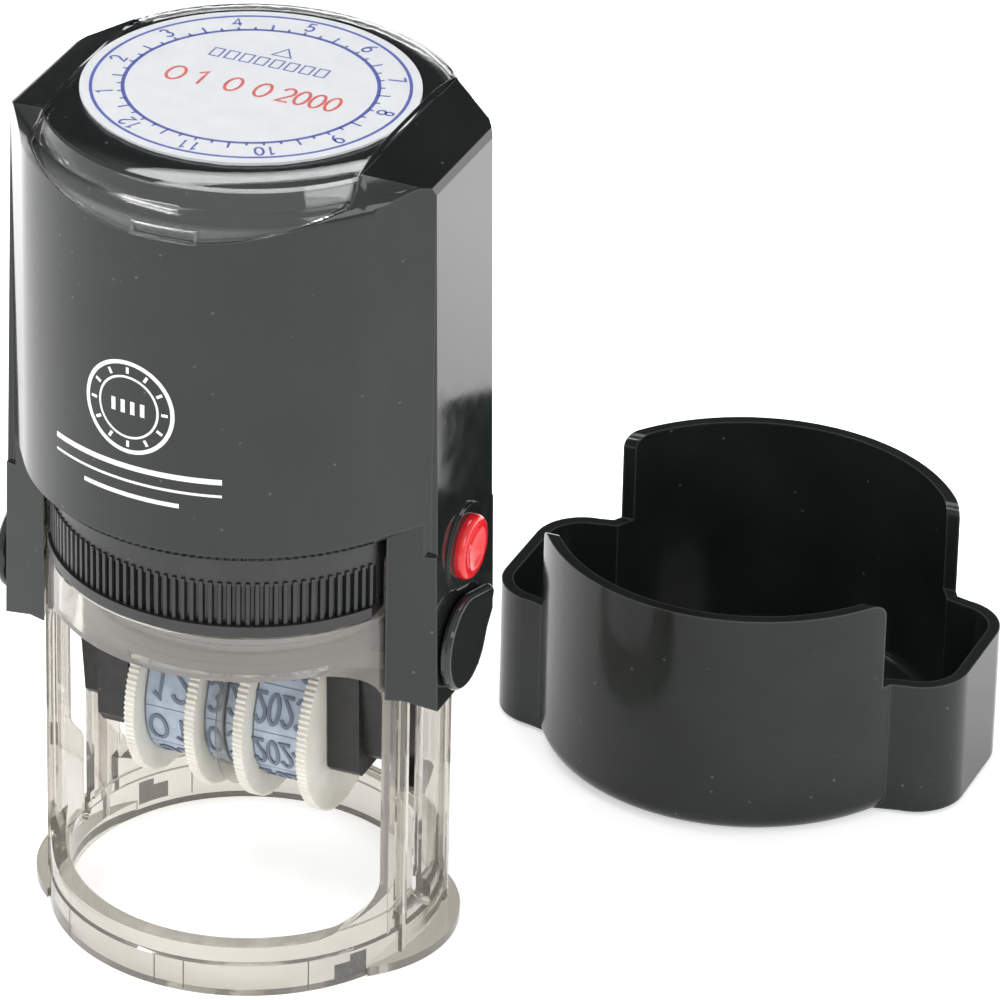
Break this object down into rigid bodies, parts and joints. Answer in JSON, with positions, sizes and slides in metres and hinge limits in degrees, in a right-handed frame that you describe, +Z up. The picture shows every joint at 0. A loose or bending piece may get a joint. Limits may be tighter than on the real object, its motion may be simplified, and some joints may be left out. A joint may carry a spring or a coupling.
{
  "type": "self-inking stamp",
  "caption": "Round self-inking dater: spring-loaded housing flips the die from the ink pad to the paper, with date wheels, hour dial, lock buttons, clear index window and dust cover.",
  "frame": {"origin": "centre of the foot ring, on the table", "axes": "+Z up through the middle of the stamp, the front faces -Y, +X to the side with the dust cover"},
  "size_m": [0.1102, 0.1238, 0.1182],
  "materials": {
    "smoky_clear": "clear smoky styrene",
    "black_gloss": "gloss",
    "black_satin": "satin",
    "black_matte": "matte",
    "cap_black": "satin gloss",
    "clear_window": "clear",
    "label_paper": "coated paper",
    "red_gloss": "gloss",
    "steel": "bright",
    "pad_blue": "inked foam",
    "pad_red": "inked foam",
    "die_rubber": "satin",
    "band_rubber": "satin",
    "ivory": "satin",
    "separator_film": "satin"
  },
  "bodies": {
    "base": {"base_frame": "smoky_clear", "spring_plate": "black_satin", "ink_cassette": "black_satin", "ink_pad_blue": "pad_blue", "ink_pad_red": "pad_red", "return_spring": "steel"},
    "housing": {"housing": "black_gloss", "spring_collar": "black_satin", "index_label": "label_paper", "pivot_covers": "black_gloss", "pivot_pins": "steel"},
    "window": {"index_window": "clear_window"},
    "button_left": {"lock_button_left": "red_gloss"},
    "button_right": {"lock_button_right": "red_gloss"},
    "carriage": {"carriage_frame": "black_matte", "band_anvil": "black_matte", "wheel_axle": "steel", "text_plate": "die_rubber", "band_separator": "separator_film", "month_band": "band_rubber", "tens_band": "band_rubber", "units_band": "band_rubber", "year_band": "band_rubber"},
    "hour_dial_ring": {"hour_ring": "black_matte", "hour_dial": "die_rubber"},
    "month_drum": {"month_wheel": "ivory"},
    "tens_drum": {"tens_wheel": "ivory"},
    "units_drum": {"units_wheel": "ivory"},
    "year_drum": {"year_wheel": "ivory"},
    "cover": {"cap": "cap_black"}
  },
  "joints": [
    {"name": "housing_press", "type": "slide", "parent": "base", "child": "housing", "axis": [0, 0, -1], "range_m": [0, 0.038], "stiffness_N_per_m": 180, "springref_m": -0.012, "deforming": ["return_spring"]},
    {"name": "carriage_flip", "type": "hinge", "parent": "housing", "child": "carriage", "pos_m": [0, 0, 0.044], "axis": [1, 0, 0], "range_deg": [0, 180]},
    {"name": "window_lift", "type": "slide", "parent": "housing", "child": "window", "axis": [0, 0, 1], "range_m": [0, 0.015]},
    {"name": "lock_button_left_press", "type": "slide", "parent": "housing", "child": "button_left", "axis": [1, 0, 0], "range_m": [0, 0.0014]},
    {"name": "lock_button_right_press", "type": "slide", "parent": "housing", "child": "button_right", "axis": [-1, 0, 0], "range_m": [0, 0.0014]},
    {"name": "hour_dial_turn", "type": "hinge", "parent": "carriage", "child": "hour_dial_ring", "pos_m": [0, 0, 0.044], "axis": [0, 0, 1], "continuous": true},
    {"name": "month_wheel_turn", "type": "hinge", "parent": "carriage", "child": "month_drum", "pos_m": [0, 0, 0.0307], "axis": [1, 0, 0], "continuous": true},
    {"name": "tens_wheel_turn", "type": "hinge", "parent": "carriage", "child": "tens_drum", "pos_m": [0, 0, 0.0307], "axis": [1, 0, 0], "continuous": true},
    {"name": "units_wheel_turn", "type": "hinge", "parent": "carriage", "child": "units_drum", "pos_m": [0, 0, 0.0307], "axis": [1, 0, 0], "continuous": true},
    {"name": "year_wheel_turn", "type": "hinge", "parent": "carriage", "child": "year_drum", "pos_m": [0, 0, 0.0307], "axis": [1, 0, 0], "continuous": true},
    {"name": "cover_lift", "type": "slide", "parent": "base", "child": "cover", "axis": [0, 0, 1], "range_m": [0, 0.05]}
  ],
  "couplings": [
    {"joint": "carriage_flip", "follows": "housing_press", "rad_per_m": 82.673}
  ]
}
